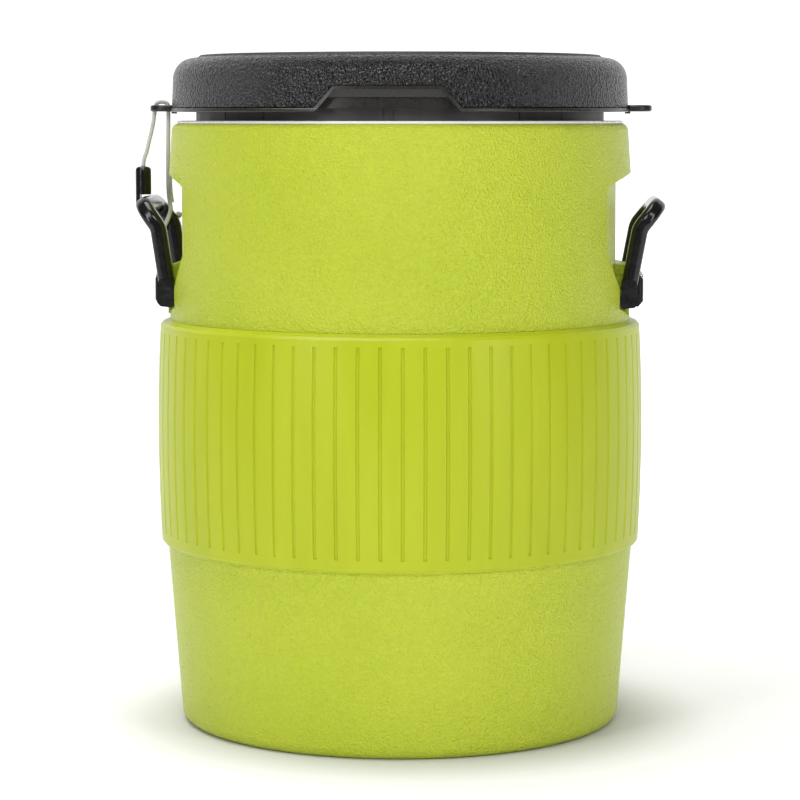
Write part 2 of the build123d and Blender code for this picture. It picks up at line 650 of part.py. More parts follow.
def handle_bracket():
    """The cap that holds the pin against the boss, with two counterbored screw holes."""
    face = PIVOT_X + 0.1
    outline = [
        (face, BRACKET_LOW_Z),
        (BRACKET_X - 4.0, BRACKET_LOW_Z),
        (BRACKET_X, BRACKET_LOW_Z + 4.5),
        (BRACKET_X, BRACKET_HIGH_Z - 7.0),
        (BRACKET_X - 3.4, BRACKET_HIGH_Z - 1.2),
        (BRACKET_X - 6.0, BRACKET_HIGH_Z),
        (face, BRACKET_HIGH_Z),
    ]
    bracket = side_prism(outline, -BRACKET_HALF_Y, BRACKET_HALF_Y)
    bracket = fillet(bracket.edges().filter_by(Axis.Z).group_by(Axis.X)[-1], 4.0)
    bracket -= along_y(PIN_R + PIN_GAP, -60, 60, PIVOT_X, PIVOT_Z)
    for y in (-SCREW_Y, SCREW_Y):
        bracket -= along_x(SCREW_R + 0.3, PIVOT_X - 1, BRACKET_X + 2, y, SCREW_Z)
        bracket -= along_x(SCREW_HEAD_R + 0.5, BRACKET_X - SCREW_HEAD, BRACKET_X + 2, y, SCREW_Z)
    return bracket


def bracket_screws():
    """The two pan-head screws of one bracket, with a cross slot in each head."""
    screws = []
    head_low = BRACKET_X - SCREW_HEAD + 0.05
    for y in (-SCREW_Y, SCREW_Y):
        shank = along_x(SCREW_R - 0.02, BRACKET_X - SCREW_LENGTH, head_low, y, SCREW_Z)
        head = along_x(SCREW_HEAD_R, head_low, head_low + SCREW_HEAD, y, SCREW_Z)
        head = fillet(head.edges().filter_by(GeomType.CIRCLE).group_by(Axis.X)[-1], 1.0)
        top = head_low + SCREW_HEAD
        slots = block((top - 1.2, y - 2.2, SCREW_Z - 0.5), (top + 1, y + 2.2, SCREW_Z + 0.5))
        slots += block((top - 1.2, y - 0.5, SCREW_Z - 2.2), (top + 1, y + 0.5, SCREW_Z + 2.2))
        screws.append(shank + head - slots)
    return Compound(children=[s.solids()[0] for s in screws])


# ---- Tether -----------------------------------------------------------------------------------------------
# The cord leaves its eye on the left handle, goes up through the tab's inner hole, over the tab, down
# through the outer hole, and ends in the toggle. Each list is a stretch of the one route.
CORD_LOWER = [(-182.6, 40.0, 401.3), (-186.2, 33.5, 411.0), (-187.1, 24.0, 424.5), (-185.9, 15.0, 438.0)]
CORD_UPPER = [
    (-185.9, 15.0, 438.0),
    (-184.94, 7.8, 448.8),
    (-183.9, 2.6, 461.5),
    (-183.3, 0.0, 474.5),
    (-183.3, 0.0, 488.2),
    (-193.2, 0.0, 488.2),
    (-194.3, 0.0, 479.5),
]
CORD_FREE = [
    (-194.3, 0.0, 479.5),
    (-195.5, 0.0, 470.0),
    (-198.4, -0.5, 459.0),
    (-200.9, -0.5, 448.0),
    (-TOGGLE_X, 0.0, 443.5),
    (-TOGGLE_X, 0.0, TOGGLE_TOP_Z),
]


def cord_radii(points):
    """The largest tangent arc that each corner of a route has room for."""
    radii = []
    for before, here, after in zip(points, points[1:], points[2:]):
        run_in = Vector(*here) - Vector(*before)
        run_out = Vector(*after) - Vector(*here)
        turn = math.radians(run_in.get_angle(run_out))
        shorter = min(run_in.length, run_out.length)
        radii.append(0.45 * shorter / math.tan(turn / 2))
    return radii


def cord_tube(name, points):
    """A plain round tube along straight runs joined by tangent arcs."""
    radii = cord_radii(points)
    path = FilletPolyline(*points, radius=radii)
    section = Plane(origin=path @ 0, z_dir=path % 0) * Circle(CORD_R)
    tube = sweep(section, path)
    share = tube.volume / (math.pi * CORD_R**2 * path.length)
    print(name, "length", round(path.length, 1), "volume share", round(share, 4))
    print("    bend radii", [round(r, 1) for r in radii])
    return tube


def tether_eye():
    """The spliced eye: a loop of cord round the sloped part of the left handle's far arm."""
    slope = Vector(GRIP_X - BEND_X, 0, GRIP_Z - BEND_Z).normalized()
    middle = Vector(BEND_X, ARM_Y, BEND_Z) + slope * EYE_ALONG
    plane = Plane(origin=middle, x_dir=(slope.Z, 0, -slope.X), z_dir=slope)
    loop = plane * RectangleRounded(2 * EYE_HALF_DEPTH, 2 * EYE_HALF_Y, EYE_CORNER_R).wire()
    print("tether_eye length", round(loop.length, 1))
    section = Plane(origin=loop @ 0, z_dir=loop % 0) * Circle(CORD_R)
    return folded(left_of(sweep(section, loop)))


def tether_toggle():
    """The stop on the cord's free end: a round-topped bar whose outer lip hangs over the grip."""
    bar = upright(TOGGLE_R, TOGGLE_LOW_Z, TOGGLE_TOP_Z, -TOGGLE_X)
    bar = fillet(bar.edges().filter_by(GeomType.CIRCLE), 3.2)
    bar -= block((-TOGGLE_LIP_X, -10, TOGGLE_LOW_Z - 2), (-TOGGLE_X + 10, 10, TOGGLE_SEAT_Z))
    return bar


# ---- Tap ---------------------------------------------------------------------------------------------------
def tap_body():
    """The tap's body: stem through the wall, flange, upright valve barrel and spout."""
    flange_y = TAP_POCKET_Y + GASKET
    body = along_y(TAP_BORE_R, TAP_INNER_Y, flange_y + 1, z=TAP_Z)
    for i in range(6):
        thread_y = TAP_INNER_Y + 2 + 3 * i
        body += along_y(TAP_BORE_R + 0.25, thread_y, thread_y + 1.4, z=TAP_Z)
    body += along_y(TAP_FLANGE_R, flange_y, flange_y + 3.2, z=TAP_Z)
    body += along_y(TAP_BORE_R - 1, flange_y, TAP_Y, z=TAP_Z)
    body += upright(BARREL_R, BARREL_LOW_Z, BARREL_TOP_Z, y=TAP_Y)
    spout_height = BARREL_LOW_Z - SPOUT_LOW_Z
    body += Pos(0, TAP_Y, SPOUT_LOW_Z + spout_height / 2) * Cone(SPOUT_LOW_R, BARREL_R, spout_height)
    body -= upright(CHAMBER_R, CHAMBER_LOW_Z, BARREL_TOP_Z + 1, y=TAP_Y)
    body -= upright(VALVE_HOLE_R, VALVE_SEAT_Z - 1, CHAMBER_LOW_Z + 1, y=TAP_Y)
    body -= upright(SPOUT_BORE_R, SPOUT_LOW_Z - 1, VALVE_SEAT_Z, y=TAP_Y)
    return body - along_y(TAP_BORE_R - 4, TAP_INNER_Y - 1, TAP_Y, z=TAP_Z)


def tap_gasket():
    """The rubber washer between the tap's flange and the outer wall."""
    disc = along_y(TAP_FLANGE_R - 1.0, TAP_POCKET_Y, TAP_POCKET_Y + GASKET, z=TAP_Z)
    return disc - along_y(TAP_BORE_R + 0.1, TAP_POCKET_Y - 5, TAP_POCKET_Y + 5, z=TAP_Z)


def tap_inner_washer():
    """The rubber washer between the nut and the liner."""
    disc = along_y(NUT_R, PAD_Y - WASHER, PAD_Y, z=TAP_Z)
    return disc - along_y(TAP_BORE_R + 0.35, PAD_Y - 5, PAD_Y + 5, z=TAP_Z)


def tap_nut():
    """The six-sided plastic nut that clamps the tap from inside the liner."""
    nut = Pos(0, PAD_Y - WASHER, TAP_Z) * Rot(X=90) * extrude(RegularPolygon(NUT_R, 6), NUT_THICKNESS)
    return nut - along_y(TAP_BORE_R + 0.35, PAD_Y - WASHER - NUT_THICKNESS - 1, PAD_Y, z=TAP_Z)


def tap_bonnet():
    """The cap that closes the valve chamber and guides the button."""
    lip_low = BARREL_TOP_Z + 0.1
    lip_high = lip_low + 3
    bonnet = upright(CHAMBER_R - 0.1, BONNET_LOW_Z, lip_low, y=TAP_Y)
    bonnet += upright(BARREL_R + 0.6, lip_low, lip_high, y=TAP_Y)
    bonnet += upright(BARREL_R - 1.4, lip_high, BONNET_TOP_Z, y=TAP_Y)
    bonnet -= upright(BONNET_BORE_R - 0.7, BONNET_FLOOR_Z, BONNET_TOP_Z + 1, y=TAP_Y)
    bonnet -= upright(BONNET_BORE_R, lip_low - 0.3, BONNET_TOP_Z + 1, y=TAP_Y)
    return bonnet - upright(ROD_R + 0.05, BONNET_LOW_Z - 1, BONNET_FLOOR_Z + 1, y=TAP_Y)


def tap_button():
    """The push button: a domed cap, hollow underneath for the spring."""
    button = upright(BUTTON_R, BUTTON_LOW_Z, BUTTON_TOP_Z, y=TAP_Y)
    button = fillet(button.edges().filter_by(GeomType.CIRCLE).group_by(Axis.Z)[-1], 3.0)
    button -= upright(BUTTON_R - 1.6, BUTTON_LOW_Z - 1, BUTTON_ROOF_Z, y=TAP_Y)
    return button - upright(ROD_R, BUTTON_LOW_Z, BUTTON_TOP_Z - 3, y=TAP_Y)


def tap_stem():
    """The valve rod from the button down through the seat to the seal."""
    rod_low = VALVE_SEAT_Z - 5.6
    stem = upright(ROD_R - 0.02, rod_low, BUTTON_TOP_Z - 3, y=TAP_Y)
    return stem + upright(5.0, rod_low - 1, rod_low + 1.2, y=TAP_Y)


def tap_seal():
    """The rubber disc that closes the seat from below."""
    seal = upright(VALVE_HOLE_R + 2, VALVE_SEAT_Z - 4.35, VALVE_SEAT_Z - 0.05, y=TAP_Y)
    seal = chamfer(seal.edges().filter_by(GeomType.CIRCLE).group_by(Axis.Z)[-1], 1.0)
    return seal - upright(ROD_R, SPOUT_LOW_Z, VALVE_SEAT_Z + 1, y=TAP_Y)


def tap_stem_ring():
    """The small ring seal round the rod, under the bonnet."""
    return Pos(0, TAP_Y, BONNET_LOW_Z - 1.2) * Torus(3.1, 1.0)


def tap_spring():
    """The return spring between the bonnet's floor and the button."""
    low = BONNET_FLOOR_Z + SPRING_WIRE_R + 0.05
    high = BUTTON_ROOF_Z - SPRING_WIRE_R - 0.1
    path = Pos(0, TAP_Y, low) * Helix((high - low) / SPRING_TURNS, high - low, SPRING_R)
    section = Plane(origin=path @ 0, z_dir=path % 0) * Circle(SPRING_WIRE_R)
    return sweep(section, path, is_frenet=True)


def main():
    """Writes one STEP file for each piece."""
    os.makedirs("parts", exist_ok=True)
    right = {
        "handle_right": handle_right(),
        "handle_pin_right": handle_pin(),
        "handle_bracket_right": handle_bracket(),
        "bracket_screws_right": bracket_screws(),
    }
    pieces = {
        "outer_shell": outer_shell(),
        "inner_liner": inner_liner(),
        "body_insulation": body_insulation(),
        "foam_fill_plug": foam_fill_plug(),
        "lid_shell": lid_shell(),
        "lid_plug": lid_plug(),
        "lid_insulation": lid_insulation(),
        "tether_eye": tether_eye(),
        "tether_cord_lower": cord_tube("tether_cord_lower", CORD_LOWER),
        "tether_cord_upper": cord_tube("tether_cord_upper", CORD_UPPER),
        "tether_cord_free": cord_tube("tether_cord_free", CORD_FREE),
        "tether_toggle": tether_toggle(),
        "tap_body": tap_body(),
        "tap_gasket": tap_gasket(),
        "tap_inner_washer": tap_inner_washer(),
        "tap_nut": tap_nut(),
        "tap_bonnet": tap_bonnet(),
        "tap_button": tap_button(),
        "tap_stem": tap_stem(),
        "tap_seal": tap_seal(),
        "tap_stem_ring": tap_stem_ring(),
        "tap_spring": tap_spring(),
    }
    for name, shape in right.items():
        pieces[name] = shape
        pieces[name.replace("right", "left")] = left_of(shape)
    pieces["handle_left"] = folded(pieces["handle_left"])
    for name, shape in pieces.items():
        export_step(shape, f"parts/{name}.step")


main()
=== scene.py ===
"""Looks for the round drinks cooler: camera, light, tether cords and procedural materials, in metres."""

import json
import math

import bmesh
import bpy
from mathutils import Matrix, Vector


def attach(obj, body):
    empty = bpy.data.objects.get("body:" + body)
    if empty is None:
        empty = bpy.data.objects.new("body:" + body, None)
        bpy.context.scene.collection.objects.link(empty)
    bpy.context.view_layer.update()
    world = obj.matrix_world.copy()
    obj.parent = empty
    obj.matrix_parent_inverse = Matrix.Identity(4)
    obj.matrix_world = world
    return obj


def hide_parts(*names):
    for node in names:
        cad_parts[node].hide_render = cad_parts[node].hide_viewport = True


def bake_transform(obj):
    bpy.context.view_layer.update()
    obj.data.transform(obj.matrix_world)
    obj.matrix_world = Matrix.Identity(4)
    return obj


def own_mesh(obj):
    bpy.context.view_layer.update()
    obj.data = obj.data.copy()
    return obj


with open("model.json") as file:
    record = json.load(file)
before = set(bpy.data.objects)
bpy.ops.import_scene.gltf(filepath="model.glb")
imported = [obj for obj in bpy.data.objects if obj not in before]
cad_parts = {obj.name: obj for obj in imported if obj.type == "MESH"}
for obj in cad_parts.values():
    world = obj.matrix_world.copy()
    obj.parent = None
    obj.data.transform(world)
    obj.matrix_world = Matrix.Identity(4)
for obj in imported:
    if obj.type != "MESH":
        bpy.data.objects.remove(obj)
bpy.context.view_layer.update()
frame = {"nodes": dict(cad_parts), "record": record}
NODES = frame["nodes"]
MM = 0.001

# ---- Camera --------------------------------------------------------------------------------------
CAMERA_DISTANCE = 2.260  # from the cooler's axis
CAMERA_HEIGHT = 0.478
CAMERA_TURN = math.radians(3.0)  # to the right of the notch's own direction
CAMERA_PITCH = math.radians(5.695)
CAMERA_LENS = 128.6

# ---- Floor and backdrop --------------------------------------------------------------------------
FLOOR_HALF_WIDTH = 7.0
FLOOR_FRONT = -4.0
FLOOR_BACK = 2.2  # where the floor starts to curve up
FLOOR_CURVE = 1.6
FLOOR_STEPS = 16
BACKDROP_TOP = 6.0
BACKDROP_FROM = 0.35  # distance behind the cooler where the backdrop's glow starts
BACKDROP_FULL = 1.6
BACKDROP_GLOW = 0.72
FLOOR_GLOW = 0.29  # from SHADOW_END outwards, and none inside SHADOW_EDGE, which leaves a painted contact shadow round the foot
SHADOW_EDGE = 0.170
SHADOW_END = 0.265

# ---- Lamps: name, place, point that they face, width and height, power ---------------------------
SOFTBOXES = [
    ("left_softbox", (-1.5, -2.0, 1.25), (0, 0, 0.28), (0.6, 1.8), 17.0),
    ("right_softbox", (1.8, -1.8, 1.15), (0, 0, 0.28), (0.6, 1.8), 15.5),
    ("front_softbox", (0.3, -3.2, 2.2), (0, 0, 0.25), (1.2, 1.0), 29.0),
    ("top_softbox", (-0.4, -0.1, 2.4), (0, 0, 0.3), (1.6, 1.6), 38.0),
]
ROOM_GLOW = 0.09

# ---- Heights and radii where the finish of the mouldings changes ---------------------------------
BELT_LOW = 0.1435
BELT_HIGH = 0.3187
BELT_MIDDLE = 0.2298
BELT_FLOOR_R = 0.1730  # inside this radius, the belt's heights belong to other surfaces
BELT_LAND_R = 0.1870  # the lands between the belt's grooves lie outside this radius
BELT_LAND_SQUARE = 0.99  # how squarely a land's faces point outwards, at the least
BELT_ARC = 1.50  # radius of the belt's barrel curve
BEAD_TOP = 0.4836
SKIRT_EDGE = 0.4803
NOTCH_SIDE = 0.0575  # half width of the notch's smooth border at the skirt's lower edge
NOTCH_SLOPE = 0.915
NOTCH_BORDER_TOP = 0.4995
NOTCH_FACE_Y = -0.1475
# SEAT_EDGE marks where the lid's top edge is rougher and painted darker, the darker colour a painted shade.
SEAT_EDGE_IN = 0.1465
SEAT_EDGE_OUT = 0.1600
SEAT_EDGE_LOW = 0.52185
TAB_START = 0.17975

# ---- Tether: the route's points, in millimetres --------------------------------------------------
EYE_CENTRE = (-188.13, 44.5, 394.13)  # the loop round the far arm of the left handle
EYE_TILT = math.radians(36.66)  # the loop's depth runs inwards and up at this angle
EYE = [  # depth inwards, distance along Y and lift along the arm, from the loop's centre
    (8.2, -4.0, 0.0),
    (8.2, 1.0, -0.5),
    (8.2, 5.0, -1.0),
    (8.0, 8.6, -1.5),
    (3.5, 8.6, -2.0),
    (-3.5, 8.6, -2.5),
    (-8.2, 8.6, -3.0),
    (-8.2, 4.0, -3.2),
    (-8.2, -4.0, -3.2),
    (-8.0, -8.6, -2.8),
    (-3.5, -8.8, -0.6),
    (2.0, -8.8, 2.6),
    (6.4, -8.6, 6.0),
    (8.0, -7.2, 9.5),
]
LOWER = [(-187.9, 35.4, 411.5), (-187.8, 30.0, 418.5), (-187.1, 24.0, 426.0), (-185.9, 15.0, 438.0)]
UPPER = [
    (-185.9, 15.0, 438.0),
    (-184.94, 7.8, 448.8),
    (-183.9, 2.6, 461.5),
    (-183.3, 0.0, 474.5),
    (-183.3, 0.0, 485.5),
    (-184.8, 0.0, 488.4),
    (-191.8, 0.0, 488.4),
    (-193.5, 0.0, 485.5),
    (-194.3, 0.0, 479.5),
]
FREE = [
    (-194.3, 0.0, 479.5),
    (-195.5, 0.0, 470.0),
    (-198.4, -0.5, 459.0),
    (-200.9, -0.5, 448.0),
    (-203.3, 0.0, 443.0),
    (-203.6, 0.0, 437.5),
]
TAIL = [
    (-185.2, 35.0, 408.5),
    (-185.6, 31.5, 414.5),
    (-185.5, 26.5, 420.5),
    (-184.9, 21.5, 427.0),
    (-184.2, 17.6, 433.0),
]

# ---- Braid and moving ends, in metres ------------------------------------------------------------
CORD_R = 0.0016
TAIL_R = 0.00135
STRAND_SHARE = 0.40  # a strand's radius as a share of the cord's
CORE_SHARE = 0.58
BRAID_PITCH = 0.0105
BRAID_SPACING = 0.00055
CORE_SHADE_SHIFT = 4.0  # added to the core's yarn coordinate, so that the finish can paint it dark, as painted shade in the braid's hollows


# ---- Small helpers -------------------------------------------------------------------------------
def link(obj):
    """Puts a new object in the scene and returns it."""
    bpy.context.scene.collection.objects.link(obj)
    return obj


def metres(points):
    """Points in metres from points in millimetres."""
    return [Vector(p) * MM for p in points]


class Shader:
    """A node material with short calls for the nodes that the finishes share."""

    def __init__(self, name):
        self.material = bpy.data.materials.new(name)
        self.material.use_nodes = True
        self.tree = self.material.node_tree
        self.surface = self.tree.nodes["Principled BSDF"]
        self.where = self.node("ShaderNodeTexCoord").outputs["Object"]

    def node(self, kind, **settings):
        """A new node with its settings."""
        made = self.tree.nodes.new(kind)
        for key, value in settings.items():
            setattr(made, key, value)
        return made

    def join(self, source, target):
        """Links a value or an output socket to an input socket."""
        if hasattr(source, "is_linked"):
            self.tree.links.new(source, target)
        else:
            target.default_value = source

    def set(self, **values):
        """Sets the surface shader's own sockets, by name with underscores for spaces."""
        for key, value in values.items():
            self.surface.inputs[key.replace("_", " ")].default_value = value

    def feed(self, source, socket):
        """Links an output to one of the surface shader's sockets."""
        self.tree.links.new(source, self.surface.inputs[socket])

    def noise(self, scale, detail=2.0, rough=0.5, stretch=(1, 1, 1), distortion=0.0, where=None):
        """Fractal noise from 0 to 1, with features about 1/scale metres across."""
        mapping = self.node("ShaderNodeMapping")
        mapping.inputs["Scale"].default_value = stretch
        self.join(where or self.where, mapping.inputs["Vector"])
        made = self.node("ShaderNodeTexNoise")
        made.inputs["Scale"].default_value = scale
        made.inputs["Detail"].default_value = detail
        made.inputs["Roughness"].default_value = rough
        made.inputs["Distortion"].default_value = distortion
        self.join(mapping.outputs["Vector"], made.inputs["Vector"])
        return made.outputs["Fac"]

    def warped(self, scale, amount):
        """The object's coordinates pushed about by noise, so that cells aren't regular."""
        made = self.node("ShaderNodeTexNoise")
        made.inputs["Scale"].default_value = scale
        made.inputs["Detail"].default_value = 2.0
        self.join(self.where, made.inputs["Vector"])
        push = self.node("ShaderNodeVectorMath", operation="MULTIPLY_ADD")
        self.join(made.outputs["Color"], push.inputs[0])
        push.inputs[1].default_value = (amount, amount, amount)
        self.join(self.where, push.inputs[2])
        return push.outputs["Vector"]

    def cells(self, scale, where=None, feature="SMOOTH_F1", smoothness=0.4):
        """Distance to the nearest of scattered points: rounded pebbles or crazed cells."""
        made = self.node("ShaderNodeTexVoronoi", feature=feature)
        made.inputs["Scale"].default_value = scale
        if feature == "SMOOTH_F1":
            made.inputs["Smoothness"].default_value = smoothness
        self.join(where or self.where, made.inputs["Vector"])
        return made.outputs["Distance"]

    def math(self, operation, a, b=0.0, c=None, clamp=False):
        """A math node on values or sockets."""
        made = self.node("ShaderNodeMath", operation=operation, use_clamp=clamp)
        self.join(a, made.inputs[0])
        self.join(b, made.inputs[1])
        if c is not None:
            self.join(c, made.inputs[2])
        return made.outputs[0]

    def remap(self, value, low, high, out_low=0.0, out_high=1.0, smooth=False):
        """A clamped change of range."""
        made = self.node("ShaderNodeMapRange")
        if smooth:
            made.interpolation_type = "SMOOTHSTEP"
        self.join(value, made.inputs["Value"])
        made.inputs["From Min"].default_value = low
        made.inputs["From Max"].default_value = high
        made.inputs["To Min"].default_value = out_low
        made.inputs["To Max"].default_value = out_high
        return made.outputs["Result"]

    def mix(self, factor, a, b):
        """A mix of two colours, each a tuple or a socket."""
        made = self.node("ShaderNodeMix", data_type="RGBA")
        self.join(factor, made.inputs["Factor"])
        for value, socket in ((a, made.inputs["A"]), (b, made.inputs["B"])):
            if isinstance(value, tuple):
                socket.default_value = (*value, 1.0)
            else:
                self.join(value, socket)
        return made.outputs["Result"]

    def place(self):
        """The x, y and z coordinates on the object."""
        made = self.node("ShaderNodeSeparateXYZ")
        self.join(self.where, made.inputs[0])
        return made.outputs[0], made.outputs[1], made.outputs[2]

    def radius(self):
        """The distance from the object's upright axis."""
        x, y, _ = self.place()
        return self.math("SQRT", self.math("ADD", self.math("MULTIPLY", x, x), self.math("MULTIPLY", y, y)))

    def above(self, value, limit, soft):
        """0 below a limit and 1 above it, with a soft edge."""
        return self.remap(value, limit - soft, limit + soft)

    def below(self, value, limit, soft):
        """1 below a limit and 0 above it, with a soft edge."""
        return self.remap(value, limit - soft, limit + soft, 1.0, 0.0)

    def bump(self, height, depth, strength=1.0, over=None):
        """A bump of that depth in metres, laid over an earlier one."""
        made = self.node("ShaderNodeBump")
        made.inputs["Strength"].default_value = strength
        made.inputs["Distance"].default_value = depth
        self.join(height, made.inputs["Height"])
        if over is not None:
            self.join(over, made.inputs["Normal"])
        return made.outputs["Normal"]


# ---- Materials -----------------------------------------------------------------------------------
def inside_band(shader, value, low, high, soft):
    """1 between two limits and 0 outside them, with soft edges."""
    rise = shader.remap(value, low - soft, low + soft, smooth=True)
    fall = shader.remap(value, high - soft, high + soft, 1.0, 0.0, smooth=True)
    return shader.math("MULTIPLY", rise, fall)


def green_shell():
    """Lime moulded plastic: leather grain above and below the belt, a smoother satin belt."""
    s = Shader("green_shell")
    _, _, z = s.place()
    belt = inside_band(s, z, BELT_LOW, BELT_HIGH, 0.0006)
    belt = s.math("MULTIPLY", belt, s.above(s.radius(), BELT_FLOOR_R, 0.0030))
    grained = s.math("SUBTRACT", 1.0, belt)

    patches = s.noise(7.0, 3.0, 0.55)
    fine = s.noise(420.0, 2.0, 0.6)
    pale = s.mix(s.remap(patches, 0.35, 0.65), (0.500, 0.595, 0.026), (0.545, 0.632, 0.038))
    flecked = s.mix(s.remap(fine, 0.42, 0.70, 0.0, 0.22), pale, (0.66, 0.74, 0.13))
    streaks = s.noise(26.0, 3.0, 0.6, stretch=(1, 1, 0.18))
    strong = s.mix(s.remap(streaks, 0.35, 0.68), (0.462, 0.540, 0.014), (0.506, 0.578, 0.021))
    smudge = s.remap(s.noise(17.0, 5.0, 0.7, distortion=0.8), 0.66, 0.80, 0.0, 0.16)
    strong = s.mix(smudge, strong, (0.40, 0.42, 0.030))
    s.feed(s.mix(belt, flecked, strong), "Base Color")

    rough_grain = s.remap(s.noise(260.0, 3.0, 0.6), 0.3, 0.7, 0.26, 0.40)
    rough_belt = s.remap(streaks, 0.3, 0.7, 0.28, 0.38)
    blend = s.node("ShaderNodeMix", data_type="FLOAT")
    s.join(belt, blend.inputs["Factor"])
    s.join(rough_grain, blend.inputs["A"])
    s.join(rough_belt, blend.inputs["B"])
    s.feed(blend.outputs["Result"], "Roughness")
    s.set(IOR=1.46, Specular_IOR_Level=0.34)
    s.set(Subsurface_Weight=0.06, Subsurface_Scale=0.004, Subsurface_Radius=(1.0, 1.0, 0.3))

    pebbles = s.cells(560.0, s.warped(300.0, 0.0016), smoothness=0.15)
    wrinkles = s.noise(300.0, 3.0, 0.55, distortion=1.2)
    low_wave = s.noise(28.0, 2.0, 0.5)
    pebble_bump = s.bump(s.math("MULTIPLY", pebbles, grained), 0.0010, 1.0)
    wrinkle_bump = s.bump(s.math("MULTIPLY", wrinkles, grained), 0.0005, 1.0, pebble_bump)
    s.feed(s.bump(low_wave, 0.0007, 0.30, wrinkle_bump), "Normal")
    return s.material


def black_lid():
    """Charcoal moulded plastic: a coarse pebbled grain, with smooth borders at the notch, edge and seat;
    the seat's edge is painted darker, a painted shade along the top edge.
    """
    s = Shader("black_lid")
    x, y, z = s.place()
    off_centre = s.math("ABSOLUTE", x)
    bead = s.below(z, BEAD_TOP, 0.0004)
    up_skirt = s.math("SUBTRACT", z, SKIRT_EDGE)
    slanted = s.math("MULTIPLY_ADD", up_skirt, NOTCH_SLOPE, off_centre)
    notch = s.below(slanted, NOTCH_SIDE, 0.0004)
    notch = s.math("MULTIPLY", notch, s.below(z, NOTCH_BORDER_TOP, 0.0003))
    notch = s.math("MULTIPLY", notch, s.below(y, NOTCH_FACE_Y, 0.0025))
    seat_edge = inside_band(s, s.radius(), SEAT_EDGE_IN, SEAT_EDGE_OUT, 0.0006)
    seat_edge = s.math("MULTIPLY", seat_edge, s.above(z, SEAT_EDGE_LOW, 0.00035))
    smooth = s.math("MAXIMUM", s.math("MAXIMUM", bead, notch), seat_edge)
    smooth = s.math("MAXIMUM", smooth, s.above(off_centre, TAB_START, 0.00025))
    grained = s.math("SUBTRACT", 1.0, smooth)

    dust = s.remap(s.noise(600.0, 2.0, 0.6), 0.50, 0.75, 0.0, 0.22)
    patches = s.remap(s.noise(9.0, 3.0, 0.6), 0.3, 0.7)
    charcoal = s.mix(patches, (0.011, 0.011, 0.012), (0.016, 0.016, 0.017))
    charcoal = s.mix(dust, charcoal, (0.045, 0.045, 0.048))
    # The seat's edge is painted near black, darker than the other smooth borders: painted shade along the
    # lid's top edge.
    borders_and_painted_seat_shade = s.mix(seat_edge, (0.020, 0.018, 0.016), (0.006, 0.006, 0.006))
    s.feed(s.mix(smooth, charcoal, borders_and_painted_seat_shade), "Base Color")
    rough = s.remap(s.noise(320.0, 3.0, 0.6), 0.3, 0.7, 0.14, 0.25)
    rough = s.math("MULTIPLY_ADD", smooth, 0.10, rough)
    s.feed(s.math("MULTIPLY_ADD", seat_edge, 0.25, rough), "Roughness")
    s.set(IOR=1.50, Specular_IOR_Level=0.46)

    pebbles = s.cells(470.0, s.warped(230.0, 0.0020), smoothness=0.12)
    creases = s.noise(330.0, 2.0, 0.5, distortion=1.0)
    first = s.bump(s.math("MULTIPLY", pebbles, grained), 0.0042, 1.0)
    second = s.bump(s.math("MULTIPLY", creases, grained), 0.0012, 1.0, first)
    s.feed(s.bump(s.noise(900.0, 2.0), 0.00008, 0.5, second), "Normal")
    return s.material


def grey_plug():
    """Dark grey moulded plastic with a slight satin sheen and vertical moulding marks."""
    s = Shader("grey_plug")
    marks = s.noise(60.0, 3.0, 0.6, stretch=(1, 1, 0.1))
    s.feed(s.mix(s.remap(marks, 0.3, 0.7), (0.050, 0.050, 0.050), (0.075, 0.074, 0.070)), "Base Color")
    s.feed(s.remap(marks, 0.3, 0.7, 0.36, 0.50), "Roughness")
    s.feed(s.bump(s.noise(700.0, 2.0), 0.0001, 0.5), "Normal")
    return s.material


def white_liner(name="white_liner", colour=(0.93, 0.93, 0.92), shade=(0.88, 0.88, 0.87)):
    """Smooth white plastic, faintly uneven."""
    s = Shader(name)
    s.feed(s.mix(s.remap(s.noise(14.0, 4.0, 0.6), 0.35, 0.7), colour, shade), "Base Color")
    s.feed(s.remap(s.noise(180.0, 3.0, 0.6), 0.3, 0.7, 0.22, 0.34), "Roughness")
    s.set(IOR=1.49, Subsurface_Weight=0.10, Subsurface_Scale=0.003, Subsurface_Radius=(1.0, 1.0, 1.0))
    s.feed(s.bump(s.noise(45.0, 3.0, 0.5), 0.0006, 0.25), "Normal")
    return s.material


def foam():
    """Pale rigid foam with small open cells."""
    s = Shader("foam")
    holes = s.cells(520.0, s.warped(300.0, 0.001), feature="F1")
    # The open cells' pits are painted darker: painted shade in the cells.
    s.feed(s.mix(s.remap(holes, 0.1, 0.7), (0.62, 0.50, 0.26), (0.80, 0.70, 0.44)), "Base Color")
    s.set(Roughness=0.85)
    s.feed(s.bump(holes, 0.0008, 0.9), "Normal")
    return s.material


def glossy_black(name="glossy_black", low=0.11, high=0.22):
    """Glossy black plastic with a faint orange peel, fine scuffs and worn patches."""
    s = Shader(name)
    wear = s.noise(75.0, 5.0, 0.65)
    s.feed(s.mix(s.remap(wear, 0.45, 0.75), (0.006, 0.006, 0.007), (0.014, 0.013, 0.012)), "Base Color")
    scuffs = s.noise(900.0, 3.0, 0.7, stretch=(1, 0.25, 0.25), distortion=0.6)
    rough = s.remap(scuffs, 0.35, 0.75, low, high)
    s.feed(s.math("ADD", rough, s.remap(wear, 0.55, 0.75, 0.0, 0.12)), "Roughness")
    s.set(IOR=1.52)
    peel = s.bump(s.noise(160.0, 2.0, 0.5), 0.0004, 0.22)
    s.feed(s.bump(scuffs, 0.00004, 0.4, peel), "Normal")
    return s.material


